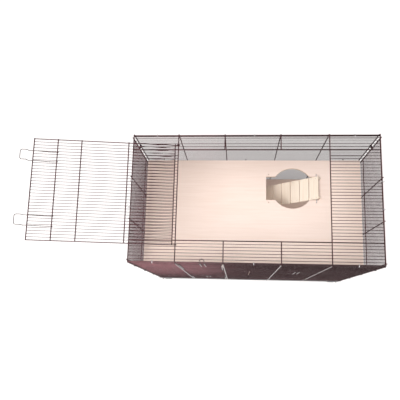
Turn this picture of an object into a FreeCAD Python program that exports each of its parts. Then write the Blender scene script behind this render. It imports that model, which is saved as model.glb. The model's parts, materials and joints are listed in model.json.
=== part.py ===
import FreeCAD, Part
import math
import os
import Sketcher

# Small animal wire cage: welded wire panels clipped into a box, two shelves with ladders,
# a pull-out tray, a large roof door shown folded back, and three doors in the front panel.
# Millimetres. +X runs along the cage, +Y towards its back, +Z up. The origin is the centre
# of the footprint, on the surface that the feet stand on. X positions in the sheet are
# counted from the left end, Y positions from the front, and rows from the bottom rail up
# or, on the roof, from the back rail forward.

SIZES = [
    ("cage_length", 1000.0),
    ("row_pitch", 12.5),
    ("depth_rows", 42),
    ("height_rows", 75),
    ("bar_radius", 1.1),
    ("post_radius", 2.2),
    ("weld_bite", 0.1),
    ("fit_gap", 0.05),
    ("seat_gap", 0.3),
    ("end_inset", 3.0),
    ("wire_overhang", 1.5),
    ("side_panel_setback", 6.0),
    ("post_one", 190.0),
    ("post_two", 380.0),
    ("post_three", 606.0),
    ("post_four", 799.0),
    ("side_stiffener_rows", 54),
    ("roof_rear_rows", 5),
    ("roof_front_rows", 35),
    ("tray_slot_rows", 5),
    ("small_door_rows", 15),
    ("upper_hinge_rows", 55),
    ("lower_hinge_rows", 7),
    ("large_hinge_rows", 14),
    ("large_door_rows", 34),
    ("large_door_left", 488.0),
    ("large_door_right", 884.0),
    ("door_side_gap", 8.0),
    ("door_wire_radius", 1.9),
    ("opening_wire_radius", 1.5),
    ("eye_clearance", 0.2),
    ("eye_angle", 250.0),
    ("bail_base_rows", 6),
    ("bail_keeper_rows", 3),
    ("bail_width", 18.0),
    ("bail_hook", 14.0),
    ("bail_lift", 0.6),
    ("upper_bail_place", 297.0),
    ("lower_bail_place", 285.0),
    ("large_bail_place", 705.0),
    ("roof_door_reach", 580.0),
    ("roof_door_lead", 13.0),
    ("roof_door_lap_rows", 1.5),
    ("roof_door_angle", 172.0),
    ("latch_radius", 1.4),
    ("latch_gap", 0.3),
    ("latch_leg_rows", 3.25),
    ("latch_reach", 46.0),
    ("latch_step", 14.0),
    ("latch_step_lead", 16.5),
    ("latch_step_run", 5.0),
    ("latch_travel", 28.0),
    ("latch_corner", 8.0),
    ("rear_latch_rows", 4.25),
    ("front_latch_rows", 25.25),
    ("foot_wall", 2.0),
    ("foot_length", 36.0),
    ("foot_width", 9.0),
    ("foot_place", 32.0),
    ("tray_wall", 2.5),
    ("tray_height", 50.0),
    ("tray_side_gap", 6.0),
    ("tray_corner", 8.0),
    ("tray_notch_length", 130.0),
    ("tray_notch_depth", 15.0),
    ("shelf_thickness", 9.0),
    ("shelf_corner", 6.0),
    ("shelf_end_gap", 3.0),
    ("shelf_side_gap", 5.0),
    ("upper_shelf_rows", 50),
    ("lower_shelf_rows", 24),
    ("hole_radius", 96.0),
    ("hole_place", 686.0),
    ("hole_depth_place", 385.0),
    ("slot_length", 242.0),
    ("slot_width", 112.0),
    ("hanger_hole_radius", 2.4),
    ("hanger_hole_spread", 67.0),
    ("hanger_inset", 11.0),
    ("support_radius", 1.5),
    ("support_end_place", 80.0),
    ("support_middle_place", 470.0),
    ("support_drop", 8.0),
    ("support_tail", 6.0),
    ("ladder_angle", 40.0),
    ("ladder_lead", 17.0),
    ("ladder_width", 106.0),
    ("rail_thickness", 7.0),
    ("rail_depth", 14.0),
    ("rail_spread", 45.0),
    ("tread_thickness", 5.0),
    ("tread_width", 46.5),
    ("tread_pitch", 51.0),
    ("clip_height", 6.0),
    ("clip_wall", 2.0),
    ("clip_first_rows", 10),
    ("clip_step_rows", 18),
    ("clip_count", 4),
    ("ring_wire_radius", 1.0),
    ("side_ring_front_rows", 24),
    ("side_ring_rear_rows", 15),
    ("long_ring_step", 400.0),
]

X_AXIS = FreeCAD.Vector(1, 0, 0)
Y_AXIS = FreeCAD.Vector(0, 1, 0)
Z_AXIS = FreeCAD.Vector(0, 0, 1)

document = FreeCAD.newDocument("small_animal_cage")
sheet = document.addObject("Spreadsheet::Sheet", "dims")
for line, (alias, value) in enumerate(SIZES, 1):
    sheet.set(f"A{line}", alias.replace("_", " "))
    sheet.set(f"B{line}", str(value))
    sheet.setAlias(f"B{line}", alias)
document.recompute()

nodes = []


def number(formula):
    """The value of a formula of sheet cells."""
    return float(sheet.evalExpression(str(formula)))


# Places that several pieces share, as formulas of the sheet's cells

HALF_LENGTH = "(dims.cage_length / 2)"
HALF_DEPTH = "(dims.depth_rows * dims.row_pitch / 2)"
RAIL_SET = "(dims.post_radius - dims.bar_radius)"
POST_SET = "(dims.bar_radius + dims.post_radius - dims.weld_bite)"
BOTTOM_RAIL_Z = "(dims.foot_wall + dims.fit_gap + dims.post_radius)"
SIDE_HALF_DEPTH = f"({HALF_DEPTH} - dims.side_panel_setback)"


def row_height(row):
    """Height of a row of the upright panels, counted from the bottom rail."""
    return f"({BOTTOM_RAIL_Z} + ({row}) * dims.row_pitch)"


def roof_row(row):
    """Y place of a row of the roof panel, counted from its back rail."""
    return f"({HALF_DEPTH} - ({row}) * dims.row_pitch)"


def along(place):
    """X coordinate of a place counted from the left end."""
    return f"(({place}) - {HALF_LENGTH})"


WALL_TOP_Z = row_height("dims.height_rows")
ROOF_Z = f"({WALL_TOP_Z} + 2 * (dims.post_radius + dims.fit_gap) + {RAIL_SET})"
ROOF_CROSS_Z = f"({ROOF_Z} + {POST_SET})"
POSTS = ["dims.post_one", "dims.post_two", "dims.post_three", "dims.post_four"]
PANEL_END = f"({HALF_LENGTH} - dims.end_inset)"


class Wires:
    """Straight wires along one axis, from a start point, copied in even steps if asked."""

    def __init__(self, axis, start, length, radius, copies=None, towards="Z", step="dims.row_pitch"):
        self.axis = axis
        self.start = start
        self.length = length
        self.radius = radius
        self.copies = copies
        self.towards = towards
        self.step = step


SKETCH_PLANES = {"X": "YZ_Plane", "Y": "XZ_Plane", "Z": "XY_Plane"}


def keep(label, thing):
    """Name a finished sub-part and remember it for export."""
    thing.Label = label
    nodes.append(thing)
    return thing


def new_body(label):
    body = document.addObject("PartDesign::Body", label)
    body.AllowCompound = True
    return keep(label, body)


def origin_of(body):
    return {feature.Role: feature for feature in body.Origin.OriginFeatures}


def new_sketch(body, name, axis, place):
    """A sketch square to an axis, with its own origin at a place given by formulas."""
    sketch = body.newObject("Sketcher::SketchObject", name)
    sketch.AttachmentSupport = (origin_of(body)[SKETCH_PLANES[axis]], [""])
    sketch.MapMode = "FlatFace"
    x, y, z = place
    local = {"X": (y, z, x), "Y": (x, z, f"-({y})"), "Z": (x, y, z)}[axis]
    for letter, formula in zip("xyz", local):
        sketch.setExpression(f"AttachmentOffset.Base.{letter}", str(formula))
    return sketch


def add_circle(sketch, radius):
    circle = sketch.addGeometry(Part.Circle(FreeCAD.Vector(0, 0, 0), Z_AXIS, number(radius)))
    sketch.addConstraint(Sketcher.Constraint("Coincident", circle, 3, -1, 1))
    rule = sketch.addConstraint(Sketcher.Constraint("Radius", circle, number(radius)))
    sketch.setExpression(f"Constraints[{rule}]", radius)


def add_rectangle(sketch, width, height):
    """A rectangle centred on the sketch's origin."""
    half_width = number(width) / 2
    half_height = number(height) / 2
    corners = [
        FreeCAD.Vector(-half_width, -half_height, 0),
        FreeCAD.Vector(half_width, -half_height, 0),
        FreeCAD.Vector(half_width, half_height, 0),
        FreeCAD.Vector(-half_width, half_height, 0),
    ]
    sides = []
    for first, second in zip(corners, corners[1:] + corners[:1]):
        sides.append(sketch.addGeometry(Part.LineSegment(first, second)))
    for first, second in zip(sides, sides[1:] + sides[:1]):
        sketch.addConstraint(Sketcher.Constraint("Coincident", first, 2, second, 1))
    for side, direction in zip(sides, ("Horizontal", "Vertical", "Horizontal", "Vertical")):
        sketch.addConstraint(Sketcher.Constraint(direction, side))
    sketch.addConstraint(Sketcher.Constraint("Symmetric", sides[0], 1, sides[1], 2, -1, 1))
    across = sketch.addConstraint(Sketcher.Constraint("DistanceX", sides[0], 1, sides[0], 2, 2 * half_width))
    sketch.setExpression(f"Constraints[{across}]", width)
    up = sketch.addConstraint(Sketcher.Constraint("DistanceY", sides[1], 1, sides[1], 2, 2 * half_height))
    sketch.setExpression(f"Constraints[{up}]", height)


def pad(body, sketch, length, name="Pad", both_ways=False):
    feature = body.newObject("PartDesign::Pad", name)
    feature.Profile = sketch
    feature.setExpression("Length", length)
    if both_ways:
        feature.SideType = "Symmetric"
    body.Tip = feature
    return feature


def pocket(body, sketch, length, name="Pocket"):
    """A cut that reaches equally far on both sides of its sketch."""
    feature = body.newObject("PartDesign::Pocket", name)
    feature.Profile = sketch
    feature.setExpression("Length", length)
    feature.SideType = "Symmetric"
    body.Tip = feature
    return feature


def pattern(body, feature, towards, step, copies, name="Pattern"):
    result = body.newObject("PartDesign::LinearPattern", name)
    result.Originals = [feature]
    result.Direction = (origin_of(body)[f"{towards}_Axis"], [""])
    result.Mode = "Spacing"
    result.setExpression("Offset", step)
    result.setExpression("Occurrences", copies)
    body.Tip = result
    return result


def wire_body(label, runs):
    """A sub-part of straight wires, each run a padded circle and its even copies."""
    body = new_body(label)
    for count, run in enumerate(runs, 1):
        sketch = new_sketch(body, f"{label}_section_{count}", run.axis, run.start)
        add_circle(sketch, run.radius)
        feature = pad(body, sketch, run.length, f"{label}_wire_{count}")
        feature.Reversed = run.axis == "Y"
        if run.copies:
            pattern(body, feature, run.towards, run.step, run.copies, f"{label}_rows_{count}")
    return body


def shape_node(label, shapes):
    """A sub-part of bent wires, whose shapes are worked out from the sheet."""
    feature = document.addObject("Part::Feature", label)
    feature.Shape = shapes[0] if len(shapes) == 1 else Part.makeCompound(shapes)
    return keep(label, feature)


def bent_edges(points, bends):
    """Straight runs through points, joined by tangent arcs of the given bend radii."""
    edges = []
    last = points[0]
    for before, corner, after, bend in zip(points, points[1:], points[2:], bends):
        back = (before - corner).normalize()
        ahead = (after - corner).normalize()
        half_turn = (math.pi - back.getAngle(ahead)) / 2
        reach = bend * math.tan(half_turn)
        start = corner + back * reach
        end = corner + ahead * reach
        inward = (back + ahead).normalize()
        middle = corner + inward * (bend / math.cos(half_turn) - bend)
        if last.distanceToPoint(start) > 1e-6:
            edges.append(Part.makeLine(last, start))
        edges.append(Part.Arc(start, middle, end).toShape())
        last = end
    edges.append(Part.makeLine(last, points[-1]))
    return edges


def eye_edge(centre, radius, start, turn, first, second):
    """An arc round a hinge wire, from one angle through a turn, in the plane of two axes."""

    def at(angle):
        return centre + first * (radius * math.cos(angle)) + second * (radius * math.sin(angle))

    return Part.Arc(at(start), at(start + turn / 2), at(start + turn)).toShape()


def swept(edges, radius):
    """A round wire along joined edges."""
    path = Part.Wire(edges)
    opening = edges[0]
    start = opening.valueAt(opening.FirstParameter)
    heading = opening.tangentAt(opening.FirstParameter)
    section = Part.Wire(Part.makeCircle(radius, start, heading))
    return path.makePipeShell([section], True, False)


# Upright panels

def build_back_panel():
    rail_y = f"({HALF_DEPTH} - {RAIL_SET})"
    post_y = f"({HALF_DEPTH} + {POST_SET})"
    wire_body("back_panel_bars", [
        Wires("X", (f"-{HALF_LENGTH}", HALF_DEPTH, row_height(1)), "dims.cage_length",
              "dims.bar_radius", "dims.height_rows - 1"),
    ])
    wire_body("back_panel_rails", [
        Wires("X", (f"-{HALF_LENGTH}", rail_y, BOTTOM_RAIL_Z), "dims.cage_length",
              "dims.post_radius", "2", step="dims.height_rows * dims.row_pitch"),
    ])
    places = [f"-{PANEL_END}"] + [along(post) for post in POSTS] + [PANEL_END]
    wire_body("back_panel_posts", [upright(place, post_y, BOTTOM_RAIL_Z, WALL_TOP_Z) for place in places])


def upright(x, y, low, high, radius="dims.post_radius"):
    """A wire that stands from one row to another and runs a little past both."""
    return Wires("Z", (x, y, f"{low} - dims.wire_overhang"),
                 f"{high} - {low} + 2 * dims.wire_overhang", radius)


def build_side_panel(name, side):
    """An end panel; side is + for the right end and - for the left end."""
    bar_x = f"{side}{HALF_LENGTH}"
    rail_x = f"{side}({HALF_LENGTH} - {RAIL_SET})"
    post_x = f"{side}({HALF_LENGTH} + {POST_SET})"
    start_y = f"-{SIDE_HALF_DEPTH}"
    width = f"2 * {SIDE_HALF_DEPTH}"
    lower_rows = "dims.side_stiffener_rows - 1"
    upper_rows = "dims.height_rows - dims.side_stiffener_rows - 1"
    wire_body(f"{name}_panel_bars", [
        Wires("Y", (bar_x, start_y, row_height(1)), width, "dims.bar_radius", lower_rows),
        Wires("Y", (bar_x, start_y, row_height("dims.side_stiffener_rows + 1")), width,
              "dims.bar_radius", upper_rows),
    ])
    wire_body(f"{name}_panel_rails", [
        Wires("Y", (rail_x, start_y, row), width, "dims.post_radius")
        for row in (BOTTOM_RAIL_Z, row_height("dims.side_stiffener_rows"), WALL_TOP_Z)
    ])
    end_y = f"({SIDE_HALF_DEPTH} - dims.end_inset)"
    places = [f"-{end_y}", f"-{HALF_DEPTH} / 3", f"{HALF_DEPTH} / 3", end_y]
    wire_body(f"{name}_panel_posts", [upright(post_x, y, BOTTOM_RAIL_Z, WALL_TOP_Z) for y in places])


# The front panel's bars stop at each door opening, so they are laid in stretches

BAY_LEFT = along("dims.post_one")
BAY_RIGHT = along("dims.post_two")
LARGE_LEFT = along("dims.large_door_left")
LARGE_RIGHT = along("dims.large_door_right")


class Door:
    """One of the front panel's doors, which fold out about the wire at their lower edge."""

    def __init__(self, name, left, right, hinge_row, rows, keeper_row, bail_x):
        self.name = name
        self.left = left
        self.right = right
        self.hinge_row = hinge_row
        self.top_row = f"({hinge_row} + {rows})"
        self.frame_row = f"({hinge_row} + {rows} + 1)"
        self.bail_row = f"({hinge_row} + {rows} - dims.bail_base_rows)"
        self.keeper_row = keeper_row
        self.bail_x = bail_x


FRONT_DOORS = [
    Door("upper_door", BAY_LEFT, BAY_RIGHT, "dims.upper_hinge_rows", "dims.small_door_rows",
         None, along("dims.upper_bail_place")),
    Door("lower_door", BAY_LEFT, BAY_RIGHT, "dims.lower_hinge_rows", "dims.small_door_rows",
         "(dims.lower_hinge_rows + dims.small_door_rows + dims.bail_keeper_rows)",
         along("dims.lower_bail_place")),
    Door("large_door", LARGE_LEFT, LARGE_RIGHT, "dims.large_hinge_rows", "dims.large_door_rows",
         "(dims.large_hinge_rows + dims.large_door_rows + dims.bail_keeper_rows)",
         along("dims.large_bail_place")),
]
UPPER_DOOR, LOWER_DOOR, LARGE_DOOR = FRONT_DOORS


def front_stretch(start, end, first_row, last_row):
    """Front bars between two places, on the rows that lie between two thick wires."""
    return Wires("X", (start, f"-{HALF_DEPTH}", row_height(f"{first_row} + 1")),
                 f"{end} - {start}", "dims.bar_radius", f"{last_row} - {first_row} - 1")


def build_front_panel():
    left = f"(-{HALF_LENGTH})"
    right = HALF_LENGTH
    over = "2 * dims.wire_overhang"
    bay_left = f"({BAY_LEFT} + {over})"
    bay_right = f"({BAY_RIGHT} - {over})"
    large_left = f"({LARGE_LEFT} + {over})"
    large_right = f"({LARGE_RIGHT} - {over})"
    slot = "dims.tray_slot_rows"
    lower_foot, lower_head = LOWER_DOOR.hinge_row, LOWER_DOOR.frame_row
    large_foot, large_head = LARGE_DOOR.hinge_row, LARGE_DOOR.frame_row
    upper_foot, upper_head = UPPER_DOOR.hinge_row, UPPER_DOOR.frame_row
    wire_body("front_panel_bars", [
        front_stretch(left, right, slot, lower_foot),
        front_stretch(left, right, large_head, upper_foot),
        front_stretch(left, right, upper_head, "dims.height_rows"),
        front_stretch(left, bay_left, lower_foot, lower_head),
        front_stretch(left, bay_left, upper_foot, upper_head),
        front_stretch(bay_right, right, upper_foot, upper_head),
        front_stretch(bay_right, right, lower_foot, large_foot),
        front_stretch(bay_right, large_left, large_foot, lower_head),
        front_stretch(left, large_left, lower_head, large_head),
        front_stretch(large_right, right, large_foot, large_head),
    ])
    rail_y = f"(-{HALF_DEPTH} + {RAIL_SET})"
    rails = [BOTTOM_RAIL_Z, row_height(slot), WALL_TOP_Z]
    wire_body("front_panel_rails", [
        Wires("X", (left, rail_y, z), "dims.cage_length", "dims.post_radius") for z in rails
    ])
    beside_opening = f"({LARGE_LEFT} - dims.opening_wire_radius + dims.weld_bite)"
    stretches = [
        (lower_foot, left, right),
        (lower_head, left, beside_opening),
        (large_foot, bay_right, right),
        (large_head, left, right),
        (upper_foot, left, right),
        (upper_head, left, right),
    ]
    wire_body("front_panel_door_frames", [
        Wires("X", (start, rail_y, row_height(row)), f"{end} - {start}", "dims.post_radius")
        for row, start, end in stretches
    ])
    post_y = f"(-{HALF_DEPTH} - {POST_SET})"
    slot_z = row_height(slot)
    large_low = row_height(large_foot)
    large_high = row_height(large_head)
    stands = [
        (f"-{PANEL_END}", BOTTOM_RAIL_Z, WALL_TOP_Z),
        (BAY_LEFT, slot_z, WALL_TOP_Z),
        (BAY_RIGHT, slot_z, WALL_TOP_Z),
        (along("dims.post_three"), slot_z, large_low),
        (along("dims.post_three"), large_high, WALL_TOP_Z),
        (along("dims.post_four"), slot_z, large_low),
        (along("dims.post_four"), large_high, WALL_TOP_Z),
        (PANEL_END, BOTTOM_RAIL_Z, WALL_TOP_Z),
    ]
    posts = [upright(x, post_y, low, high) for x, low, high in stands]
    opening_y = f"(-{HALF_DEPTH} + dims.bar_radius + dims.opening_wire_radius - dims.weld_bite)"
    seat = "(dims.post_radius - dims.weld_bite)"
    for x in (LARGE_LEFT, LARGE_RIGHT):
        posts.append(Wires("Z", (x, opening_y, f"{large_low} + {seat}"),
                           f"{large_high} - {large_low} - 2 * {seat}", "dims.opening_wire_radius"))
    wire_body("front_panel_posts", posts)


def build_roof_panel():
    left = f"-{HALF_LENGTH}"
    rail_z = f"({ROOF_Z} - {RAIL_SET})"
    first_cross = along("dims.post_one")
    last_cross = along("dims.post_four")
    rear = "dims.roof_rear_rows"
    front = "dims.roof_front_rows"
    short_rows = f"{front} - {rear} - 1"
    inner_start = roof_row(f"{front} - 1")
    wire_body("roof_panel_bars", [
        Wires("X", (left, roof_row(f"{rear} - 1"), ROOF_Z), "dims.cage_length",
              "dims.bar_radius", f"{rear} - 1", "Y"),
        Wires("X", (left, roof_row("dims.depth_rows - 1"), ROOF_Z), "dims.cage_length",
              "dims.bar_radius", f"dims.depth_rows - {front} - 1", "Y"),
        Wires("X", (left, inner_start, ROOF_Z), f"{first_cross} + {HALF_LENGTH} + dims.wire_overhang",
              "dims.bar_radius", short_rows, "Y"),
        Wires("X", (f"{last_cross} - dims.wire_overhang", inner_start, ROOF_Z),
              f"{HALF_LENGTH} - {last_cross} + dims.wire_overhang",
              "dims.bar_radius", short_rows, "Y"),
    ])
    wire_body("roof_panel_rails", [
        Wires("X", (left, f"({roof_row(row)} {inward} {RAIL_SET})", rail_z), "dims.cage_length",
              "dims.post_radius")
        for row, inward in ((0, "-"), (rear, "+ 0 *"), (front, "+ 0 *"), ("dims.depth_rows", "+"))
    ])
    over = "dims.wire_overhang"
    full_start = f"(-{HALF_DEPTH} - {over})"
    full_width = f"2 * ({HALF_DEPTH} + {over})"
    rear_start = f"({roof_row(rear)} - {over})"
    rear_width = f"({rear}) * dims.row_pitch + 2 * {over}"
    front_width = f"(dims.depth_rows - {front}) * dims.row_pitch + 2 * {over}"
    crosses = [
        Wires("Y", (x, full_start, ROOF_CROSS_Z), full_width, "dims.post_radius")
        for x in (f"-{PANEL_END}", first_cross, last_cross, PANEL_END)
    ]
    for place in ("dims.post_two", "dims.post_three"):
        x = along(place)
        crosses.append(Wires("Y", (x, rear_start, ROOF_CROSS_Z), rear_width, "dims.post_radius"))
        crosses.append(Wires("Y", (x, full_start, ROOF_CROSS_Z), front_width, "dims.post_radius"))
    wire_body("roof_panel_cross_wires", crosses)


# Clips and rings that join the panels

def add_slot(sketch, spread, radius):
    """A round-ended outline from the sketch's origin along its X axis."""
    length = number(spread)
    round_end = number(radius)
    near = Part.Circle(FreeCAD.Vector(0, 0, 0), Z_AXIS, round_end)
    far = Part.Circle(FreeCAD.Vector(length, 0, 0), Z_AXIS, round_end)
    parts = [
        sketch.addGeometry(Part.ArcOfCircle(near, math.pi / 2, 3 * math.pi / 2)),
        sketch.addGeometry(Part.LineSegment(FreeCAD.Vector(0, -round_end, 0),
                                            FreeCAD.Vector(length, -round_end, 0))),
        sketch.addGeometry(Part.ArcOfCircle(far, -math.pi / 2, math.pi / 2)),
        sketch.addGeometry(Part.LineSegment(FreeCAD.Vector(length, round_end, 0),
                                            FreeCAD.Vector(0, round_end, 0))),
    ]
    for first, second in zip(parts, parts[1:] + parts[:1]):
        sketch.addConstraint(Sketcher.Constraint("Tangent", first, 2, second, 1))
    sketch.addConstraint(Sketcher.Constraint("Coincident", parts[0], 3, -1, 1))
    sketch.addConstraint(Sketcher.Constraint("Horizontal", parts[1]))
    rule = sketch.addConstraint(Sketcher.Constraint("Radius", parts[0], round_end))
    sketch.setExpression(f"Constraints[{rule}]", radius)
    reach = sketch.addConstraint(Sketcher.Constraint("DistanceX", parts[0], 3, parts[2], 3, length))
    sketch.setExpression(f"Constraints[{reach}]", spread)
    return parts[2]


def build_corner_clips():
    """Plates with two bores, each holding the end posts of two panels at a corner."""
    bore = "dims.post_radius + dims.fit_gap"
    reach_x = f"({HALF_LENGTH} + {POST_SET} - {PANEL_END})"
    reach_y = f"({HALF_DEPTH} + {POST_SET} - {SIDE_HALF_DEPTH} + dims.end_inset)"
    spread = f"sqrt({reach_x} * {reach_x} + {reach_y} * {reach_y})"
    post_x = number(PANEL_END)
    post_y = number(f"{HALF_DEPTH} + {POST_SET}")
    level = f"({row_height('dims.clip_first_rows + 0.5')} - dims.clip_height / 2)"
    for name, side, end in (("front_left", -1, -1), ("front_right", 1, -1),
                            ("back_left", -1, 1), ("back_right", 1, 1)):
        body = new_body(f"corner_clips_{name}")
        sketch = new_sketch(body, f"clip_{name}", "Z", ("0", "0", level))
        far_end = add_slot(sketch, spread, f"{bore} + dims.clip_wall")
        add_circle(sketch, bore)
        second = sketch.addGeometry(Part.Circle(FreeCAD.Vector(number(spread), 0, 0), Z_AXIS, number(bore)))
        sketch.addConstraint(Sketcher.Constraint("Coincident", second, 3, far_end, 3))
        rule = sketch.addConstraint(Sketcher.Constraint("Radius", second, number(bore)))
        sketch.setExpression(f"Constraints[{rule}]", bore)
        plate = pad(body, sketch, "dims.clip_height", f"clip_{name}_plate")
        pattern(body, plate, "Z", "dims.clip_step_rows * dims.row_pitch", "dims.clip_count",
                f"clip_{name}_rows")
        turn = math.degrees(math.atan2(-end * number(reach_y), side * number(reach_x)))
        corner = FreeCAD.Vector(side * post_x, end * post_y, 0)
        body.Placement = FreeCAD.Placement(corner, FreeCAD.Rotation(Z_AXIS, turn))


def build_rings():
    """Closed rings of thin wire that hold the roof panel to the rails under it."""
    wire = number("dims.ring_wire_radius")
    slack = number("dims.seat_gap")
    post = number("dims.post_radius")
    rail_x = number(f"{HALF_LENGTH} - {RAIL_SET}")
    cross_x = number(PANEL_END)
    low = number(WALL_TOP_Z)
    cross_z = number(ROOF_CROSS_Z)
    side_radius = math.hypot(rail_x - cross_x, cross_z - low) / 2 + post + slack + wire
    side_rings = []
    for side in (-1, 1):
        for row in ("dims.side_ring_front_rows", "dims.side_ring_rear_rows"):
            centre = FreeCAD.Vector(side * (rail_x + cross_x) / 2, number(roof_row(f"{row} + 0.5")),
                                    (cross_z + low) / 2)
            side_rings.append(Part.makeTorus(side_radius, wire, centre, Y_AXIS))
    shape_node("side_rings", side_rings)
    rail_y = number(f"{HALF_DEPTH} - {RAIL_SET}")
    high = number(f"{ROOF_Z} - {RAIL_SET}")
    long_radius = (high - low) / 2 + post + slack + wire
    step = number("dims.long_ring_step")
    long_rings = []
    for end in (-1, 1):
        for place in (-step, 0, step):
            centre = FreeCAD.Vector(place, end * rail_y, (high + low) / 2)
            long_rings.append(Part.makeTorus(long_radius, wire, centre, X_AXIS))
    shape_node("long_rings", long_rings)


# Base: feet, floor wires and tray

FLOOR_WIRE_Z = f"({BOTTOM_RAIL_Z} + 2 * dims.post_radius - dims.weld_bite)"
TRAY_Z = f"({FLOOR_WIRE_Z} + dims.post_radius + dims.seat_gap)"
TRAY_FLOOR_Z = f"({TRAY_Z} + dims.tray_wall)"


def build_feet():
    """Moulded feet that the front and back bottom rails pass through."""
    body = new_body("feet")
    first = f"(-{HALF_LENGTH} + dims.foot_place)"
    rail_y = f"({HALF_DEPTH} - {RAIL_SET})"
    height = "2 * (dims.foot_wall + dims.fit_gap + dims.post_radius)"
    for index, y in enumerate((f"-{rail_y}", rail_y)):
        block = new_sketch(body, f"foot_block_{index}", "X", (first, y, f"{height} / 2"))
        add_rectangle(block, "dims.foot_width", height)
        add_circle(block, "dims.post_radius + dims.fit_gap")
        feature = pad(body, block, "dims.foot_length", f"foot_pad_{index}", both_ways=True)
        pattern(body, feature, "X", "dims.cage_length - 2 * dims.foot_place", "2",
                f"foot_pair_{index}")


def build_floor_wires():
    rail_y = f"({HALF_DEPTH} - {RAIL_SET})"
    start = f"-{rail_y}"
    length = f"2 * {rail_y}"
    places = [f"-{PANEL_END}"] + [along(post) for post in POSTS] + [PANEL_END]
    wire_body("floor_wires", [
        Wires("Y", (x, start, FLOOR_WIRE_Z), length, "dims.post_radius") for x in places
    ])


def build_tray():
    """The pull-out tray, with a finger notch in the top of its front wall."""
    body = new_body("tray")
    front_y = f"(-{HALF_DEPTH} + {RAIL_SET} - dims.post_radius)"
    back_y = f"({HALF_DEPTH} - {RAIL_SET} - dims.post_radius - dims.fit_gap)"
    width = "dims.cage_length - 2 * dims.tray_side_gap"
    depth = f"{back_y} - {front_y}"
    middle_y = f"({back_y} + {front_y}) / 2"
    outside = new_sketch(body, "tray_outside", "Z", ("0", middle_y, TRAY_Z))
    add_rectangle(outside, width, depth)
    block = pad(body, outside, "dims.tray_height", "tray_block")
    round_corners(body, block, "dims.tray_height", "dims.tray_corner", "tray_corners")
    hollow_z = f"{TRAY_FLOOR_Z} + dims.tray_height"
    hollow = new_sketch(body, "tray_hollow", "Z", ("0", middle_y, hollow_z))
    add_rectangle(hollow, f"{width} - 2 * dims.tray_wall", f"{depth} - 2 * dims.tray_wall")
    pocket(body, hollow, "2 * dims.tray_height", "tray_hollow_cut")
    notch = new_sketch(body, "tray_notch", "Y", ("0", front_y, f"{TRAY_Z} + dims.tray_height"))
    add_rectangle(notch, "dims.tray_notch_length", "2 * dims.tray_notch_depth")
    pocket(body, notch, "4 * dims.tray_wall", "tray_notch_cut")


def round_corners(body, block, height, radius, name):
    """Rounds the upright edges of a padded rectangle."""
    document.recompute()
    tall = number(height)
    corners = []
    for index, edge in enumerate(block.Shape.Edges, 1):
        if abs(edge.BoundBox.ZLength - tall) < tall / 100:
            corners.append(f"Edge{index}")
    fillet = body.newObject("PartDesign::Fillet", name)
    fillet.Base = (block, corners)
    fillet.setExpression("Radius", radius)
    body.Tip = fillet


# Shelves, their supports and the ladders

SHELF_HALF_LENGTH = f"({HALF_LENGTH} - dims.shelf_end_gap)"
SHELF_HALF_DEPTH = f"({HALF_DEPTH} - dims.shelf_side_gap)"
HOLE_X = along("dims.hole_place")
HOLE_Y = f"(dims.hole_depth_place - {HALF_DEPTH})"
HOOK_RADIUS = "(dims.bar_radius + dims.fit_gap + dims.support_radius)"


class Level:
    """One shelf and what hangs on it; the lower shelf is turned half round."""

    def __init__(self, name, row, turn, landing):
        self.name = name
        self.row = row
        self.turn = turn
        self.support_z = f"({row_height(row)} - dims.support_drop)"
        self.under_z = f"({self.support_z} + dims.support_radius + dims.fit_gap)"
        self.top_z = f"({self.under_z} + dims.shelf_thickness)"
        self.hanger_z = f"({self.top_z} + dims.fit_gap + dims.support_radius)"
        self.landing = landing


LOWER_LEVEL = Level("lower", "dims.lower_shelf_rows", 180, TRAY_FLOOR_Z)
UPPER_LEVEL = Level("upper", "dims.upper_shelf_rows", 0, LOWER_LEVEL.top_z)


def turned(level):
    return FreeCAD.Placement(FreeCAD.Vector(0, 0, 0), FreeCAD.Rotation(Z_AXIS, level.turn))


def build_shelf(level):
    """A full-size shelf with a round hole, a slot for the ladder and four hanger holes."""
    body = new_body(f"{level.name}_shelf")
    plate = new_sketch(body, f"{level.name}_plate", "Z", ("0", "0", level.under_z))
    add_rectangle(plate, f"2 * {SHELF_HALF_LENGTH}", f"2 * {SHELF_HALF_DEPTH}")
    block = pad(body, plate, "dims.shelf_thickness", f"{level.name}_plate_pad")
    round_corners(body, block, "dims.shelf_thickness", "dims.shelf_corner",
                  f"{level.name}_plate_corners")
    cut = "4 * dims.shelf_thickness"
    hole = new_sketch(body, f"{level.name}_hole", "Z", (HOLE_X, HOLE_Y, level.under_z))
    add_circle(hole, "dims.hole_radius")
    pocket(body, hole, cut, f"{level.name}_hole_cut")
    slot = new_sketch(body, f"{level.name}_slot", "Z", (HOLE_X, HOLE_Y, level.under_z))
    add_rectangle(slot, "dims.slot_length", "dims.slot_width")
    pocket(body, slot, cut, f"{level.name}_slot_cut")
    reach = "(dims.slot_length / 2 - dims.hanger_inset)"
    for index, (side, end) in enumerate(((-1, -1), (1, -1), (-1, 1), (1, 1))):
        place = (f"{HOLE_X} + {side} * {reach}", f"{HOLE_Y} + {end} * dims.hanger_hole_spread",
                 level.under_z)
        drill = new_sketch(body, f"{level.name}_hanger_hole_{index}", "Z", place)
        add_circle(drill, "dims.hanger_hole_radius")
        pocket(body, drill, cut, f"{level.name}_hanger_hole_cut_{index}")
    body.Placement = turned(level)


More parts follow.
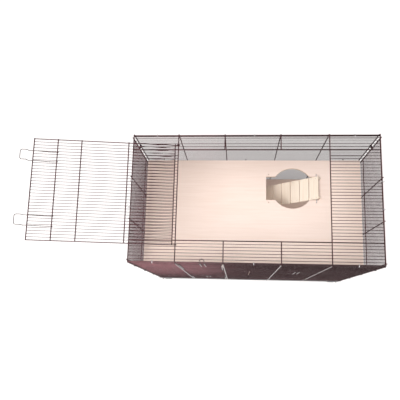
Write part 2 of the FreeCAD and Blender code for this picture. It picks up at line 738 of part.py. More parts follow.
def build_shelf_supports(level):
    """Wires under the shelf whose ends hook over a bar of the front and the back panel."""
    hook = number(HOOK_RADIUS)
    wire = number("dims.support_radius")
    bar_y = number(HALF_DEPTH)
    bar_z = number(row_height(level.row))
    run_z = number(level.support_z)
    tail = number("dims.support_tail")
    bend = 2 * wire
    supports = []
    places = ("dims.support_end_place", "dims.support_middle_place",
              "dims.cage_length - dims.support_end_place")
    for place in places:
        x = number(along(place))
        edges = []
        edges.append(Part.makeLine(FreeCAD.Vector(x, -bar_y - hook, bar_z - tail),
                                   FreeCAD.Vector(x, -bar_y - hook, bar_z)))
        edges.append(Part.Arc(FreeCAD.Vector(x, -bar_y - hook, bar_z),
                              FreeCAD.Vector(x, -bar_y, bar_z + hook),
                              FreeCAD.Vector(x, -bar_y + hook, bar_z)).toShape())
        edges += bent_edges([
            FreeCAD.Vector(x, -bar_y + hook, bar_z),
            FreeCAD.Vector(x, -bar_y + hook, run_z),
            FreeCAD.Vector(x, bar_y - hook, run_z),
            FreeCAD.Vector(x, bar_y - hook, bar_z),
        ], [bend, bend])
        edges.append(Part.Arc(FreeCAD.Vector(x, bar_y - hook, bar_z),
                              FreeCAD.Vector(x, bar_y, bar_z + hook),
                              FreeCAD.Vector(x, bar_y + hook, bar_z)).toShape())
        edges.append(Part.makeLine(FreeCAD.Vector(x, bar_y + hook, bar_z),
                                   FreeCAD.Vector(x, bar_y + hook, bar_z - tail)))
        supports.append(swept(edges, wire))
    shape_node(f"{level.name}_shelf_supports", supports)


SLOT_END_X = f"({HOLE_X} + dims.slot_length / 2)"
HANGER_X = f"({SLOT_END_X} - dims.hanger_inset)"


def build_ladder(level):
    """A ramp of boards on two rails, hung on a bent wire at the end of the shelf's slot."""
    slope = "dims.ladder_angle"
    foot_z = f"({level.landing} + dims.seat_gap)"
    half = "dims.rail_depth / 2"
    lead = "dims.ladder_lead"
    under_length = f"({lead} + ({level.hanger_z} - {foot_z} - {half} * cos({slope})) / sin({slope}))"
    top_length = f"({under_length} + dims.rail_depth / tan({slope}))"
    hanger = FreeCAD.Vector(number(HANGER_X), number(HOLE_Y), number(level.hanger_z))
    lean = FreeCAD.Placement(hanger, FreeCAD.Rotation(Y_AXIS, 180 - number(slope)))
    # In the ladder's own frame +X runs down the slope and +Z out of its upper face
    flip = FreeCAD.Placement(FreeCAD.Vector(0, 0, 0), FreeCAD.Rotation(X_AXIS, 180))
    place = turned(level) * lean * flip
    rails = new_body(f"{level.name}_ladder_rails")
    for index, side in enumerate(("-1", "1")):
        start_y = f"{side} * dims.rail_spread"
        sketch = new_sketch(rails, f"{level.name}_rail_{index}", "Y", ("0", start_y, "0"))
        add_rail_profile(sketch, lead, under_length, top_length)
        pad(rails, sketch, "dims.rail_thickness", f"{level.name}_rail_pad_{index}", both_ways=True)
        bore = new_sketch(rails, f"{level.name}_rail_bore_{index}", "Y", ("0", start_y, "0"))
        add_circle(bore, "dims.support_radius + dims.fit_gap")
        pocket(rails, bore, "2 * dims.rail_thickness", f"{level.name}_rail_bore_cut_{index}")
    rails.Placement = place
    treads = new_body(f"{level.name}_ladder_treads")
    first = f"-({lead}) + dims.tread_width / 2 + dims.wire_overhang"
    board = new_sketch(treads, f"{level.name}_board", "Z", (first, "0", half))
    add_rectangle(board, "dims.tread_width", "dims.ladder_width")
    block = pad(treads, board, "dims.tread_thickness", f"{level.name}_board_pad")
    boards = f"floor(({top_length} - dims.tread_width) / dims.tread_pitch) + 1"
    pattern(treads, block, "X", "dims.tread_pitch", boards, f"{level.name}_boards")
    treads.Placement = place
    build_hanger(level)


def add_rail_profile(sketch, lead, under_length, top_length):
    """Side view of a ladder rail, with the lower end cut level; the bore is at the origin."""
    half = number("dims.rail_depth / 2")
    start = -number(lead)
    corners = [
        FreeCAD.Vector(start, -half, 0),
        FreeCAD.Vector(start + number(under_length), -half, 0),
        FreeCAD.Vector(start + number(top_length), half, 0),
        FreeCAD.Vector(start, half, 0),
    ]
    sides = []
    for first, second in zip(corners, corners[1:] + corners[:1]):
        sides.append(sketch.addGeometry(Part.LineSegment(first, second)))
    for first, second in zip(sides, sides[1:] + sides[:1]):
        sketch.addConstraint(Sketcher.Constraint("Coincident", first, 2, second, 1))
    sketch.addConstraint(Sketcher.Constraint("Horizontal", sides[0]))
    sketch.addConstraint(Sketcher.Constraint("Horizontal", sides[2]))
    sketch.addConstraint(Sketcher.Constraint("Vertical", sides[3]))
    sized = [
        ("DistanceX", (sides[0], 1, sides[0], 2), under_length),
        ("DistanceX", (sides[2], 2, sides[2], 1), top_length),
        ("DistanceY", (sides[3], 2, sides[3], 1), "dims.rail_depth"),
        ("DistanceX", (sides[0], 1, -1, 1), lead),
        ("DistanceY", (sides[0], 1, -1, 1), "dims.rail_depth / 2"),
    ]
    for kind, ends, formula in sized:
        rule = sketch.addConstraint(Sketcher.Constraint(kind, *ends, number(formula)))
        sketch.setExpression(f"Constraints[{rule}]", formula)


def build_hanger(level):
    """A bent wire on top of the shelf, its ends down through the hanger holes and bent over."""
    wire = number("dims.support_radius")
    x = number(HANGER_X)
    y = number(HOLE_Y)
    spread = number("dims.hanger_hole_spread")
    high = number(level.hanger_z)
    low = number(f"{level.under_z} - dims.fit_gap") - wire
    tail = 3 * wire
    bend = 1.5 * wire
    ends = []
    for side in (-1, 1):
        ends.append([
            FreeCAD.Vector(x - tail, y + side * spread, low),
            FreeCAD.Vector(x, y + side * spread, low),
            FreeCAD.Vector(x, y + side * spread, high),
        ])
    points = ends[0] + ends[1][::-1]
    shape = swept(bent_edges(points, [bend] * 4), wire)
    hanger = shape_node(f"{level.name}_ladder_hanger", [shape])
    hanger.Placement = turned(level)


# Roof door: drawn shut, then swung back about the first cross wire of the roof panel

ROOF_HINGE_X = along("dims.post_one")
ROOF_EYE = "(dims.post_radius + dims.eye_clearance + dims.door_wire_radius)"
DOOR_SIDE_Z = f"({ROOF_CROSS_Z} + {ROOF_EYE})"
DOOR_CROSS_Z = f"({DOOR_SIDE_Z} - dims.door_wire_radius - dims.post_radius + dims.weld_bite)"
DOOR_BAR_Z = f"({DOOR_CROSS_Z} + {POST_SET})"
DOOR_REAR_Y = roof_row("dims.roof_rear_rows - dims.roof_door_lap_rows")
DOOR_FRONT_Y = roof_row("dims.roof_front_rows + dims.roof_door_lap_rows")
DOOR_SHORT_BAY = "((dims.roof_door_reach - dims.roof_door_lead) / 6)"


def swung_back():
    hinge = FreeCAD.Vector(number(ROOF_HINGE_X), 0, number(ROOF_CROSS_Z))
    turn = FreeCAD.Rotation(FreeCAD.Vector(0, -1, 0), number("dims.roof_door_angle"))
    return FreeCAD.Placement(FreeCAD.Vector(0, 0, 0), turn, hinge)


def build_roof_door():
    over = "dims.wire_overhang"
    start_x = f"({ROOF_HINGE_X} + dims.roof_door_lead - {over})"
    length = f"dims.roof_door_reach - dims.roof_door_lead + 2 * {over}"
    inner = f"dims.roof_front_rows - dims.roof_rear_rows + 2 * dims.roof_door_lap_rows - 1"
    bars = wire_body("roof_door_bars", [
        Wires("X", (start_x, f"({DOOR_FRONT_Y} + dims.row_pitch)", DOOR_BAR_Z), length,
              "dims.bar_radius", inner, "Y"),
    ])
    width = f"{DOOR_REAR_Y} - {DOOR_FRONT_Y} + 2 * {over}"
    places = [f"({ROOF_HINGE_X} + dims.roof_door_lead + {bays} * {DOOR_SHORT_BAY})"
              for bays in (0, 2, 4, 5, 6)]
    crosses = wire_body("roof_door_cross_wires", [
        Wires("Y", (x, f"({DOOR_FRONT_Y} - {over})", DOOR_CROSS_Z), width, "dims.post_radius")
        for x in places
    ])
    eye = number(ROOF_EYE)
    end_x = number(f"{ROOF_HINGE_X} + dims.roof_door_reach + {over}")
    sides = []
    for place in (DOOR_FRONT_Y, DOOR_REAR_Y):
        centre = FreeCAD.Vector(number(ROOF_HINGE_X), number(place), number(ROOF_CROSS_Z))
        turn = math.radians(number("dims.eye_angle"))
        curl = eye_edge(centre, eye, math.pi / 2 + turn, -turn, X_AXIS, Z_AXIS)
        start = centre + Z_AXIS * eye
        run = Part.makeLine(start, FreeCAD.Vector(end_x, start.y, start.z))
        sides.append(swept([curl, run], number("dims.door_wire_radius")))
    side_wires = shape_node("roof_door_side_wires", sides)
    for piece in (bars, crosses, side_wires):
        piece.Placement = swung_back()


def build_roof_latch(label, first_row):
    """A sliding latch: a bent wire woven over one cross wire and under the door's end wire."""
    post = number("dims.post_radius")
    wire = number("dims.latch_radius")
    gap = number("dims.latch_gap")
    level = number(DOOR_CROSS_Z)
    offset = post + wire + gap
    end_x = number(f"{ROOF_HINGE_X} + dims.roof_door_reach")
    inner_x = end_x - number(DOOR_SHORT_BAY)
    travel = number("dims.latch_travel")
    step_x = end_x + number("dims.latch_step_lead")
    run = number("dims.latch_step_run")
    tongue_z = level - offset - number("dims.latch_step")
    tip_x = end_x + number("dims.latch_reach")
    flat_end = inner_x + travel + 2 * offset - post
    side = [
        (inner_x - offset, level - wire),
        (inner_x - offset, level + offset),
        (flat_end, level + offset),
        (end_x - 4 * offset, level - offset),
        (step_x, level - offset),
        (step_x + run, tongue_z),
        (tip_x, tongue_z),
    ]
    first_y = number(roof_row(f"dims.roof_rear_rows - dims.roof_door_lap_rows + {first_row}"))
    second_y = first_y - number("dims.latch_leg_rows * dims.row_pitch")
    there = [FreeCAD.Vector(x, first_y, z) for x, z in side]
    back = [FreeCAD.Vector(x, second_y, z) for x, z in reversed(side)]
    tight = 2 * wire
    corner = number("dims.latch_corner")
    bends = [tight] * 5 + [corner, corner] + [tight] * 5
    latch = shape_node(label, [swept(bent_edges(there + back, bends), wire)])
    latch.Placement = swung_back()


# Front doors, drawn shut

DOOR_EYE = "(dims.post_radius + dims.eye_clearance + dims.door_wire_radius)"
HINGE_Y = f"(-{HALF_DEPTH} + {RAIL_SET})"
SIDE_WIRE_Y = f"({HINGE_Y} - {DOOR_EYE})"
CROSS_Y = f"({SIDE_WIRE_Y} + dims.door_wire_radius + dims.post_radius - dims.weld_bite)"
DOOR_BAR_Y = f"({SIDE_WIRE_Y} + dims.door_wire_radius + dims.bar_radius - dims.weld_bite)"
DOOR_UPRIGHT_Y = f"({DOOR_BAR_Y} - {POST_SET})"
BAIL_EYE = "(dims.post_radius + dims.eye_clearance + dims.latch_radius)"


def build_front_door(door):
    over = "dims.wire_overhang"
    left = f"({door.left} + dims.door_side_gap)"
    right = f"({door.right} - dims.door_side_gap)"
    start = f"({left} - {over})"
    width = f"{right} - {left} + 2 * {over}"
    first = f"({door.hinge_row} + 2)"
    upper = f"({door.bail_row} + 1)"
    wire_body(f"{door.name}_bars", [
        Wires("X", (start, DOOR_BAR_Y, row_height(first)), width, "dims.bar_radius",
              f"{door.bail_row} - {first}"),
        Wires("X", (start, DOOR_BAR_Y, row_height(upper)), width, "dims.bar_radius",
              f"{door.top_row} - {upper}"),
    ])
    side_wire = outer_side_wire
    if door is LARGE_DOOR:
        side_wire = inner_side_wire
        flank = "(dims.door_wire_radius - dims.weld_bite)"
        start = f"({left} + {flank})"
        width = f"{right} - {left} - 2 * {flank}"
    crosses = (f"{door.hinge_row} + 1", door.bail_row, door.top_row)
    wire_body(f"{door.name}_cross_wires", [
        Wires("X", (start, CROSS_Y, row_height(row)), width, "dims.post_radius") for row in crosses
    ])
    shape_node(f"{door.name}_side_wires", [side_wire(door, number(x)) for x in (left, right)])


def outer_side_wire(door, x):
    """A door's side wire outside its bars, curled round the hinge wire at its lower end."""
    eye = number(DOOR_EYE)
    turn = math.radians(number("dims.eye_angle"))
    centre = FreeCAD.Vector(x, number(HINGE_Y), number(row_height(door.hinge_row)))
    curl = eye_edge(centre, eye, math.pi + turn, -turn, Y_AXIS, Z_AXIS)
    begin = centre - Y_AXIS * eye
    top_z = number(f"{row_height(door.top_row)} + dims.wire_overhang")
    run = Part.makeLine(begin, FreeCAD.Vector(x, begin.y, top_z))
    return swept([curl, run], number("dims.door_wire_radius"))


def inner_side_wire(door, x):
    """A door's side wire inside its bars: an eye with a set above it, and an end bent out."""
    wire = number("dims.door_wire_radius")
    eye = number(DOOR_EYE)
    turn = math.radians(number("dims.eye_angle"))
    centre = FreeCAD.Vector(x, number(HINGE_Y), number(row_height(door.hinge_row)))
    inset = number(f"{DOOR_BAR_Y} + dims.bar_radius + dims.door_wire_radius - dims.weld_bite - {HINGE_Y}")
    bend = 2 * wire
    lift = math.sqrt((eye + bend) ** 2 - (inset + bend) ** 2)
    meet = math.atan2(lift, inset + bend)
    elbow = centre + Y_AXIS * (inset + bend) + Z_AXIS * lift
    top_z = number(row_height(door.top_row))
    edges = [
        eye_edge(centre, eye, meet - turn, turn, Y_AXIS, Z_AXIS),
        eye_edge(elbow, bend, math.pi + meet, -meet, Y_AXIS, Z_AXIS),
    ]
    edges += bent_edges([
        FreeCAD.Vector(x, centre.y + inset, elbow.z),
        FreeCAD.Vector(x, centre.y + inset, top_z),
        FreeCAD.Vector(x, number(DOOR_UPRIGHT_Y), top_z),
    ], [bend])
    return swept(edges, wire)


def build_large_door_uprights():
    """Uprights in line with the panel's own posts above and below the large door."""
    low = row_height(f"{LARGE_DOOR.hinge_row} + 2")
    high = row_height(LARGE_DOOR.top_row)
    wire_body("large_door_uprights", [
        upright(along(post), DOOR_UPRIGHT_Y, low, high) for post in ("dims.post_three", "dims.post_four")
    ])


def build_bail(door):
    """A loop of wire with two eyes on the door, hooked over a bar above the door."""
    wire = number("dims.latch_radius")
    eye = number(BAIL_EYE)
    lift = number("dims.bail_lift")
    half = number("dims.bail_width / 2")
    x = number(door.bail_x)
    pivot_y = number(CROSS_Y)
    pivot_z = number(row_height(door.bail_row))
    if door.keeper_row:
        keeper_top = number(f"{row_height(door.keeper_row)} + dims.bar_radius")
    else:
        keeper_top = number(f"{ROOF_Z} + dims.bar_radius")
    hook_z = keeper_top + lift + wire
    leg_y = pivot_y - eye
    inner_y = number(f"-{HALF_DEPTH} + dims.bail_hook") - half
    bend = 3 * wire
    turn = math.radians(number("dims.eye_angle"))
    edges = []
    left = FreeCAD.Vector(x - half, pivot_y, pivot_z)
    edges.append(eye_edge(left, eye, math.pi + turn, -turn, Y_AXIS, Z_AXIS))
    edges += bent_edges([
        FreeCAD.Vector(x - half, leg_y, pivot_z),
        FreeCAD.Vector(x - half, leg_y, hook_z),
        FreeCAD.Vector(x - half, inner_y, hook_z),
    ], [bend])
    edges.append(Part.Arc(FreeCAD.Vector(x - half, inner_y, hook_z),
                          FreeCAD.Vector(x, inner_y + half, hook_z),
                          FreeCAD.Vector(x + half, inner_y, hook_z)).toShape())
    edges += bent_edges([
        FreeCAD.Vector(x + half, inner_y, hook_z),
        FreeCAD.Vector(x + half, leg_y, hook_z),
        FreeCAD.Vector(x + half, leg_y, pivot_z),
    ], [bend])
    right = FreeCAD.Vector(x + half, pivot_y, pivot_z)
    edges.append(eye_edge(right, eye, math.pi, turn, Y_AXIS, Z_AXIS))
    shape_node(f"{door.name}_bail", [swept(edges, wire)])


def check_model():
    """Stop with a plain message if any object failed or any sub-part's shape is unusable."""
    document.recompute()
    for thing in document.Objects:
        if "Invalid" in thing.State or "Error" in thing.State:
            raise RuntimeError(f"{thing.Label} failed: {thing.State}")
    for node in nodes:
        if node.Shape.isNull() or not node.Shape.isValid() or not node.Shape.Solids:
            raise RuntimeError(f"{node.Label} has no valid solid")


def export_nodes():
    os.makedirs("parts", exist_ok=True)
    for node in nodes:
        node.Shape.exportStep(os.path.join("parts", f"{node.Label}.step"))
        print(node.Label, len(node.Shape.Solids), round(node.Shape.Volume, 1))


build_back_panel()
build_front_panel()
build_side_panel("left", "-")
build_side_panel("right", "")
build_roof_panel()
build_corner_clips()
build_rings()
build_feet()
build_floor_wires()
build_tray()
for shelf_level in (UPPER_LEVEL, LOWER_LEVEL):
    build_shelf(shelf_level)
    build_shelf_supports(shelf_level)
    build_ladder(shelf_level)
build_roof_door()
build_roof_latch("rear_roof_latch", "dims.rear_latch_rows")
build_roof_latch("front_roof_latch", "dims.front_latch_rows")
for front_door in FRONT_DOORS:
    build_front_door(front_door)
    build_bail(front_door)
build_large_door_uprights()
check_model()
export_nodes()
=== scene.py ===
import json
import math

import bmesh
import bpy
from mathutils import Euler, Matrix, Vector


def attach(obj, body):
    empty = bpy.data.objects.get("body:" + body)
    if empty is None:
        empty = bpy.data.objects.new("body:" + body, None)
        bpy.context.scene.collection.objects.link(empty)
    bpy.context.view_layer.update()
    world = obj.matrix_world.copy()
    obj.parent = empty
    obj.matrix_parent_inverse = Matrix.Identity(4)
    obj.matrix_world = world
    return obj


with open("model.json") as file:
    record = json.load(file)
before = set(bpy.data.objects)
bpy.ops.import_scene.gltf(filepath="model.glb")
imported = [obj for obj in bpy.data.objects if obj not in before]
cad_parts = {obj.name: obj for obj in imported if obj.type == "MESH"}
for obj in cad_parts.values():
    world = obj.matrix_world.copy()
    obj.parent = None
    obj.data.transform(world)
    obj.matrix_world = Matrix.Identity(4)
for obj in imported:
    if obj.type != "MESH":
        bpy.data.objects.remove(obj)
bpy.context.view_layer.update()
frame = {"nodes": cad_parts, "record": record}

nodes = frame["nodes"]
record = frame["record"]

MM = 0.001

# The camera stands almost over the cage, a little in front of its middle

CAMERA_PLACE = Vector((-0.0624, -0.4468, 2.7937))
CAMERA_TURN = (10.35, 4.40, 1.52)
PHOTO_WIDTH = 400
FOCAL_PIXELS = 474.5
AXIS_BELOW_MIDDLE = 25
SENSOR_WIDTH = 36


class Nodes:
    """A material's node tree, with short calls for the nodes that the materials here use."""

    def __init__(self, name):
        self.material = bpy.data.materials.new(name)
        self.material.use_nodes = True
        self.tree = self.material.node_tree
        self.surface = self.tree.nodes["Principled BSDF"]
        self.place = self.add("ShaderNodeTexCoord").outputs["Object"]

    def add(self, kind, **settings):
        """A new node, with what is set on the node itself."""
        made = self.tree.nodes.new(kind)
        for key, value in settings.items():
            setattr(made, key, value)
        return made

    def link(self, source, target):
        self.tree.links.new(source, target)

    def set(self, **values):
        """Constant inputs of the surface shader, named with underscores."""
        for key, value in values.items():
            self.surface.inputs[key.replace("_", " ")].default_value = value

    def mapped(self, turn=(0, 0, 0), scale=(1, 1, 1), place=(0, 0, 0)):
        """Object coordinates moved, turned and stretched."""
        mapping = self.add("ShaderNodeMapping", vector_type="POINT")
        mapping.inputs["Location"].default_value = place
        mapping.inputs["Rotation"].default_value = turn
        mapping.inputs["Scale"].default_value = scale
        self.link(self.place, mapping.inputs["Vector"])
        return mapping.outputs["Vector"]

    def noise(self, scale, detail=2.0, roughness=0.5, vector=None, distortion=0.0):
        """Noise through the object coordinates, or through a vector made from them."""
        made = self.add("ShaderNodeTexNoise")
        made.inputs["Scale"].default_value = scale
        made.inputs["Detail"].default_value = detail
        made.inputs["Roughness"].default_value = roughness
        made.inputs["Distortion"].default_value = distortion
        self.link(vector or self.place, made.inputs["Vector"])
        return made.outputs["Fac"]

    def ramp(self, value, stops):
        """A colour ramp from (position, colour) pairs."""
        made = self.add("ShaderNodeValToRGB")
        elements = made.color_ramp.elements
        while len(elements) < len(stops):
            elements.new(0.5)
        for element, (position, colour) in zip(elements, stops):
            element.position = position
            element.color = (*colour, 1)
        self.link(value, made.inputs["Fac"])
        return made.outputs["Color"]

    def spread(self, value, low, high, from_low=0.3, from_high=0.7):
        """A value stretched from one range to another, by default from a noise's usual range."""
        made = self.add("ShaderNodeMapRange")
        for key, number in (("From Min", from_low), ("From Max", from_high),
                            ("To Min", low), ("To Max", high)):
            made.inputs[key].default_value = number
        self.link(value, made.inputs["Value"])
        return made.outputs["Result"]

    def math(self, operation, first, second=None):
        made = self.add("ShaderNodeMath", operation=operation)
        for socket, value in zip(made.inputs, (first, second)):
            if value is None:
                continue
            if isinstance(value, (int, float)):
                socket.default_value = value
            else:
                self.link(value, socket)
        return made.outputs["Value"]

    def mix(self, factor, first, second):
        made = self.add("ShaderNodeMix", data_type="RGBA")
        if isinstance(factor, (int, float)):
            made.inputs["Factor"].default_value = factor
        else:
            self.link(factor, made.inputs["Factor"])
        for key, value in ((6, first), (7, second)):
            if isinstance(value, tuple):
                made.inputs[key].default_value = (*value, 1)
            else:
                self.link(value, made.inputs[key])
        return made.outputs[2]

    def bump(self, height, distance, strength):
        """Fine relief, its distance in metres."""
        made = self.add("ShaderNodeBump")
        made.inputs["Strength"].default_value = strength
        made.inputs["Distance"].default_value = distance
        self.link(height, made.inputs["Height"])
        self.link(made.outputs["Normal"], self.surface.inputs["Normal"])

    def colour(self, socket):
        self.link(socket, self.surface.inputs["Base Color"])

    def roughness(self, socket):
        self.link(socket, self.surface.inputs["Roughness"])


def coated_wire(name, dark, light):
    """Dark coating on wire: mauve in its gloss, slightly uneven, with a fine orange peel."""
    m = Nodes(name)
    m.set(Metallic=1.0)
    m.colour(m.ramp(m.noise(28, 3), [(0.3, dark), (0.7, light)]))
    m.roughness(m.spread(m.noise(160, 2), 0.15, 0.24))
    m.bump(m.noise(1400, 2), 0.00004, 0.5)
    return m.material


def bright_wire(name, dark, light, rough):
    """Zinc-plated wire: metal with a fine relief and cloudy patches."""
    m = Nodes(name)
    m.set(Metallic=1.0)
    clouds = m.noise(120, 4, 0.6)
    m.colour(m.ramp(clouds, [(0.3, dark), (0.7, light)]))
    m.roughness(m.spread(m.noise(420, 3), rough, rough + 0.16))
    m.bump(m.noise(2600, 2), 0.00002, 0.4)
    return m.material


def shelf_board():
    """Pale veneered board: faint long grain on the faces and thin plies on the edges."""
    m = Nodes("shelf_board")
    grain = m.noise(1, 6, 0.6, m.mapped(scale=(5, 95, 95)), 0.6)
    broad = m.noise(1, 3, 0.5, m.mapped(scale=(1.2, 5, 5), place=(3, 1, 0)))
    face = m.ramp(grain, [(0.3, (0.74, 0.57, 0.48)), (0.72, (0.81, 0.65, 0.57))])
    face = m.mix(m.spread(broad, 0, 0.35), face, (0.82, 0.67, 0.60))
    plies = m.add("ShaderNodeTexWave", wave_type="BANDS", bands_direction="Z")
    plies.inputs["Scale"].default_value = 105
    plies.inputs["Distortion"].default_value = 0.35
    m.link(m.place, plies.inputs["Vector"])
    edge = m.ramp(plies.outputs["Fac"], [(0.25, (0.46, 0.28, 0.16)), (0.75, (0.74, 0.55, 0.38))])
    geometry = m.add("ShaderNodeNewGeometry")
    parts = m.add("ShaderNodeSeparateXYZ")
    m.link(geometry.outputs["Normal"], parts.inputs["Vector"])
    flat = m.math("GREATER_THAN", m.math("ABSOLUTE", parts.outputs["Z"]), 0.8)
    m.colour(m.mix(flat, edge, face))
    m.roughness(m.spread(grain, 0.46, 0.54))
    m.set(Coat_Weight=0.5, Coat_Roughness=0.3)
    m.bump(grain, 0.0001, 0.2)
    return m.material


def ladder_wood(name, slope, towards):
    """Bare softwood on a ladder: grain across the slope, and each board a little different."""
    m = Nodes(name)
    along_slope = m.mapped(turn=(0, towards * slope, 0))
    grain_scale = m.add("ShaderNodeMapping", vector_type="POINT")
    grain_scale.inputs["Scale"].default_value = (120, 7, 120)
    m.link(along_slope, grain_scale.inputs["Vector"])
    grain = m.noise(1, 6, 0.62, grain_scale.outputs["Vector"], 0.8)
    parts = m.add("ShaderNodeSeparateXYZ")
    m.link(along_slope, parts.inputs["Vector"])
    board = m.math("FLOOR", m.math("DIVIDE", parts.outputs["X"], BOARD_PITCH * MM))
    shade = m.add("ShaderNodeTexWhiteNoise", noise_dimensions="1D")
    m.link(board, shade.inputs["W"])
    wood = m.ramp(grain, [(0.28, (0.76, 0.62, 0.49)), (0.7, (0.83, 0.72, 0.60))])
    wood = m.mix(m.spread(shade.outputs["Value"], 0, 0.4, 0, 1), wood, (0.85, 0.75, 0.65))
    m.colour(wood)
    m.roughness(m.spread(grain, 0.54, 0.66))
    m.bump(grain, 0.00014, 0.3)
    return m.material


def moulded_plastic(name, dark, light, rough, grain):
    """Moulded plastic with a fine grain and slightly uneven gloss."""
    m = Nodes(name)
    m.colour(m.ramp(m.noise(9, 3), [(0.35, dark), (0.7, light)]))
    m.roughness(m.spread(m.noise(60, 4, 0.6), rough, rough + 0.14))
    m.bump(m.noise(grain, 2), 0.00006, 0.4)
    return m.material


def pale_floor():
    """White floor that also shines by itself, as a light table does, so its shadows stay faint."""
    m = Nodes("pale_floor")
    m.colour(m.ramp(m.noise(3, 2), [(0.3, (0.30, 0.29, 0.285)), (0.7, (0.31, 0.30, 0.295))]))
    m.set(Roughness=0.7, Emission_Color=(1, 0.985, 0.975, 1), Emission_Strength=0.8)
    return m.material


LADDER_SLOPE = math.radians(40)
BOARD_PITCH = 51

materials = {
    "coated_wire": coated_wire("coated_wire", (0.064, 0.029, 0.032), (0.088, 0.041, 0.045)),
    "latch_wire": coated_wire("latch_wire", (0.075, 0.055, 0.055), (0.11, 0.082, 0.082)),
    "bright_wire": bright_wire("bright_wire", (0.42, 0.42, 0.43), (0.6, 0.6, 0.6), 0.24),
    "ring_zinc": bright_wire("ring_zinc", (0.62, 0.62, 0.64), (0.8, 0.8, 0.8), 0.18),
    "shelf_board": shelf_board(),
    "tray_plastic": moulded_plastic(
        "tray_plastic", (0.012, 0.012, 0.014), (0.02, 0.02, 0.023), 0.3, 900
    ),
    "foot_plastic": moulded_plastic(
        "foot_plastic", (0.015, 0.015, 0.017), (0.024, 0.023, 0.026), 0.45, 1600
    ),
    "clip_plastic": moulded_plastic(
        "clip_plastic", (0.014, 0.012, 0.013), (0.022, 0.018, 0.02), 0.4, 1600
    ),
}
ladder_woods = {
    "upper": ladder_wood("upper_ladder_wood", LADDER_SLOPE, 1),
    "lower": ladder_wood("lower_ladder_wood", LADDER_SLOPE, -1),
}


def finish_cad_nodes():
    """Every CAD node takes the material of its slot in the record."""
    for part in record["subparts"]:
        node = part["node"]
        if part["material_slot"] == "ladder_wood":
            material = ladder_woods[node.split("_")[0]]
        else:
            material = materials[part["material_slot"]]
        data = nodes[node].data
        data.materials.clear()
        data.materials.append(material)


def soften(node, width):
    """Rounds a CAD node's sharp edges in the render, by a width in millimetres."""
    bevel = nodes[node].modifiers.new("soft_edges", "BEVEL")
    bevel.width = width * MM
    bevel.segments = 3
    bevel.limit_method = "ANGLE"
    bevel.angle_limit = math.radians(40)
    bevel.use_clamp_overlap = True


# Places and sizes of the welds and nails, in millimetres, from the part's own sizes

LOW_RAIL = 4.25
ROW = 12.5
WALL_ROWS = 75
ROOF_ROWS = 42
TRAY_SLOT_ROW = 5
HALF_DEPTH = 262.5
WALL_JOIN = 263.55
END_JOIN = 501.05
ROOF_JOIN = 948.4
POSTS = (-497, -310, -120, 106, 299, 497)
POSTS_AT_LARGE_OPENING = (106, 299)
WIRES_OVER_ROOF_OPENING = (-120, 106)
SIDE_POSTS = (-253.5, -87.5, 87.5, 253.5)
LARGE_OPENING = (14, 49)
ROOF_OPENING = (5, 35)
HINGE = Vector((-310, 0, 950.55))
ROOF_DOOR_ANGLE = math.radians(172)
ROOF_DOOR_LEAD = 13
ROOF_DOOR_BAY = 94.5
ROOF_DOOR_CROSSES = (0, 2, 4, 5, 6)
ROOF_DOOR_JOIN = 953.0
ROOF_DOOR_FRONT = -193.75
ROOF_DOOR_BARS = 32
DOOR_JOIN = -263.85
DOORS = {
    "upper_door": ((-302, -128), 56, 70),
    "lower_door": ((-302, -128), 8, 22),
    "large_door": ((106, 299), 16, 48),
}
HANGER = {"upper": Vector((296, 122.5, 633.35)), "lower": Vector((-296, -122.5, 308.35))}
BOARDS = {"upper": 10, "lower": 9}
FIRST_BOARD = 7.75
NAIL_SPREAD = 45
NAIL_STEP = 12
BOARD_TOP = 12
WELD_RADIUS = 1.8
WELD_HEIGHT = 0.9
NAIL_RADIUS = 1.7
NAIL_HEIGHT = 0.5


def row_height(row):
    """Height of a wall's row over the floor."""
    return LOW_RAIL + row * ROW


def wall_welds():
    """Crossings of the four walls, each a place and the axis that its two wires meet along."""
    spots = []
    for row in range(WALL_ROWS + 1):
        z = row_height(row)
        spots += [((x, WALL_JOIN, z), 1) for x in POSTS]
        spots += [((side * END_JOIN, y, z), 0) for y in SIDE_POSTS for side in (-1, 1)]
        if 0 < row < TRAY_SLOT_ROW:
            continue
        for x in POSTS:
            open_here = x in POSTS_AT_LARGE_OPENING and LARGE_OPENING[0] < row < LARGE_OPENING[1]
            if not open_here:
                spots.append(((x, -WALL_JOIN, z), 1))
    return spots


def roof_welds():
    """Crossings of the roof panel, where its bars don't stop at the opening."""
    spots = []
    for row in range(ROOF_ROWS + 1):
        y = HALF_DEPTH - row * ROW
        for x in POSTS:
            stops_here = x in WIRES_OVER_ROOF_OPENING
            open_here = stops_here and ROOF_OPENING[0] < row < ROOF_OPENING[1]
            if not open_here:
                spots.append(((x, y, ROOF_JOIN), 2))
    return spots


def roof_door_welds():
    """Crossings of the roof door, set out with the door shut and swung back with it."""
    turn = Matrix.Rotation(-ROOF_DOOR_ANGLE, 4, "Y")
    spots = []
    for bays in ROOF_DOOR_CROSSES:
        x = HINGE.x + ROOF_DOOR_LEAD + bays * ROOF_DOOR_BAY
        for bar in range(1, ROOF_DOOR_BARS + 1):
            shut = Vector((x, ROOF_DOOR_FRONT + bar * ROW, ROOF_DOOR_JOIN))
            spots.append((turn @ (shut - HINGE) + HINGE, 2))
    return spots


def front_door_welds(door):
    """Crossings of a front door, on its rows between its side wires' places."""
    places, first, last = DOORS[door]
    return [((x, DOOR_JOIN, row_height(row)), 1) for x in places for row in range(first, last + 1)]


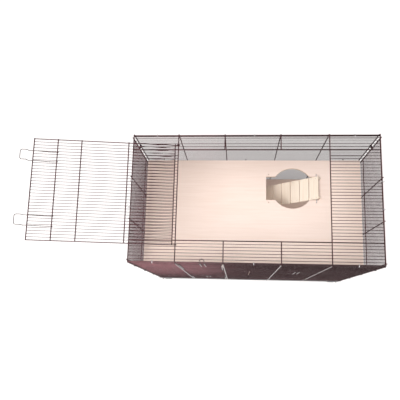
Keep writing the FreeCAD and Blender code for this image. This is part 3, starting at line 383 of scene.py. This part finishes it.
def nails(ladder):
    """Heads of the nails that hold the boards to the rails."""
    towards = 1 if ladder == "upper" else -1
    down = Vector((-towards * math.cos(LADDER_SLOPE), 0, -math.sin(LADDER_SLOPE)))
    out = Vector((-towards * math.sin(LADDER_SLOPE), 0, math.cos(LADDER_SLOPE)))
    spots = []
    for board in range(BOARDS[ladder]):
        middle = HANGER[ladder] + down * (FIRST_BOARD + board * BOARD_PITCH) + out * BOARD_TOP
        for side in (-1, 1):
            for end in (-1, 1):
                place = middle + down * side * NAIL_STEP + Vector((0, end * NAIL_SPREAD, 0))
                spots.append((place, 2))
    return spots


def add_beads(name, body, spots, radius, height, material):
    """Small round beads in one mesh that rides on a body, each flattened along one axis."""
    seed = bmesh.new()
    bmesh.ops.create_icosphere(seed, subdivisions=1, radius=1)
    seed.verts.index_update()
    corners = [vertex.co.copy() for vertex in seed.verts]
    triangles = [[vertex.index for vertex in face.verts] for face in seed.faces]
    seed.free()
    points = []
    faces = []
    for place, axis in spots:
        size = Vector((radius, radius, radius))
        size[axis] = height
        first = len(points)
        points += [(Vector(place) + corner * size) * MM for corner in corners]
        faces += [[first + index for index in triangle] for triangle in triangles]
    mesh = bpy.data.meshes.new(name)
    mesh.from_pydata(points, [], faces)
    for face in mesh.polygons:
        face.use_smooth = True
    mesh.materials.append(material)
    beads = bpy.data.objects.new(name, mesh)
    bpy.context.scene.collection.objects.link(beads)
    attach(beads, body)


def add_welds(name, body, spots):
    add_beads(name, body, spots, WELD_RADIUS, WELD_HEIGHT, materials["coated_wire"])


def build_welds_and_nails():
    add_welds("panel_welds", "cage", wall_welds() + roof_welds())
    add_welds("roof_door_welds", "roof_door", roof_door_welds())
    for door in DOORS:
        add_welds(f"{door}_welds", door, front_door_welds(door))
    for ladder in BOARDS:
        name = f"{ladder}_ladder_nails"
        add_beads(name, "cage", nails(ladder), NAIL_RADIUS, NAIL_HEIGHT, materials["ring_zinc"])


FLOOR_REACH = 8
WORLD_STRENGTH = 0.22

# Each softbox: name, place, target and size in metres, power in watts

LIGHTS = (
    ("overhead", (0.4, 0.7, 3.4), (0.4, 0.7, 0), (1.6, 1.36), 20),
    ("front_left", (-1.1, -1.25, 3.3), (-1.1, -1.25, 0), (1.6, 1.5), 104),
    ("left", (-2.6, 0.2, 1.9), (0, 0, 0.6), (2.4, 1.4), 34),
    ("right", (2.6, 0.2, 1.9), (0, 0, 0.6), (2.4, 1.4), 34),
)


def build_floor():
    mesh = bpy.data.meshes.new("floor")
    shape = bmesh.new()
    bmesh.ops.create_grid(shape, x_segments=2, y_segments=2, size=FLOOR_REACH)
    shape.to_mesh(mesh)
    shape.free()
    floor = bpy.data.objects.new("floor", mesh)
    bpy.context.scene.collection.objects.link(floor)
    mesh.materials.append(pale_floor())


def build_camera():
    """A camera whose focal length and shift reproduce the photograph's frame."""
    data = bpy.data.cameras.new("camera")
    data.sensor_width = SENSOR_WIDTH
    data.lens = FOCAL_PIXELS / PHOTO_WIDTH * SENSOR_WIDTH
    data.shift_y = AXIS_BELOW_MIDDLE / PHOTO_WIDTH
    camera = bpy.data.objects.new("camera", data)
    camera.location = CAMERA_PLACE
    camera.rotation_euler = Euler([math.radians(turn) for turn in CAMERA_TURN])
    bpy.context.scene.collection.objects.link(camera)
    bpy.context.scene.camera = camera


def area_light(name, place, target, size, power):
    data = bpy.data.lights.new(name, "AREA")
    data.shape = "RECTANGLE"
    data.size, data.size_y = size
    data.energy = power
    light = bpy.data.objects.new(name, data)
    light.location = place
    aim = Vector(target) - Vector(place)
    light.rotation_euler = aim.to_track_quat("-Z", "Y").to_euler()
    bpy.context.scene.collection.objects.link(light)


def build_lights():
    """Softboxes over a dim even surround, which keeps the wires dark."""
    for light in LIGHTS:
        area_light(*light)
    world = bpy.data.worlds.new("world")
    world.use_nodes = True
    background = world.node_tree.nodes["Background"]
    background.inputs["Color"].default_value = (1, 1, 1, 1)
    background.inputs["Strength"].default_value = WORLD_STRENGTH
    bpy.context.scene.world = world
    bpy.context.scene.view_settings.view_transform = "Standard"


finish_cad_nodes()
for level in ("upper", "lower"):
    soften(f"{level}_shelf", 0.8)
    soften(f"{level}_ladder_treads", 0.9)
    soften(f"{level}_ladder_rails", 0.6)
soften("tray", 0.7)
soften("feet", 0.5)
build_welds_and_nails()
build_floor()
build_camera()
build_lights()
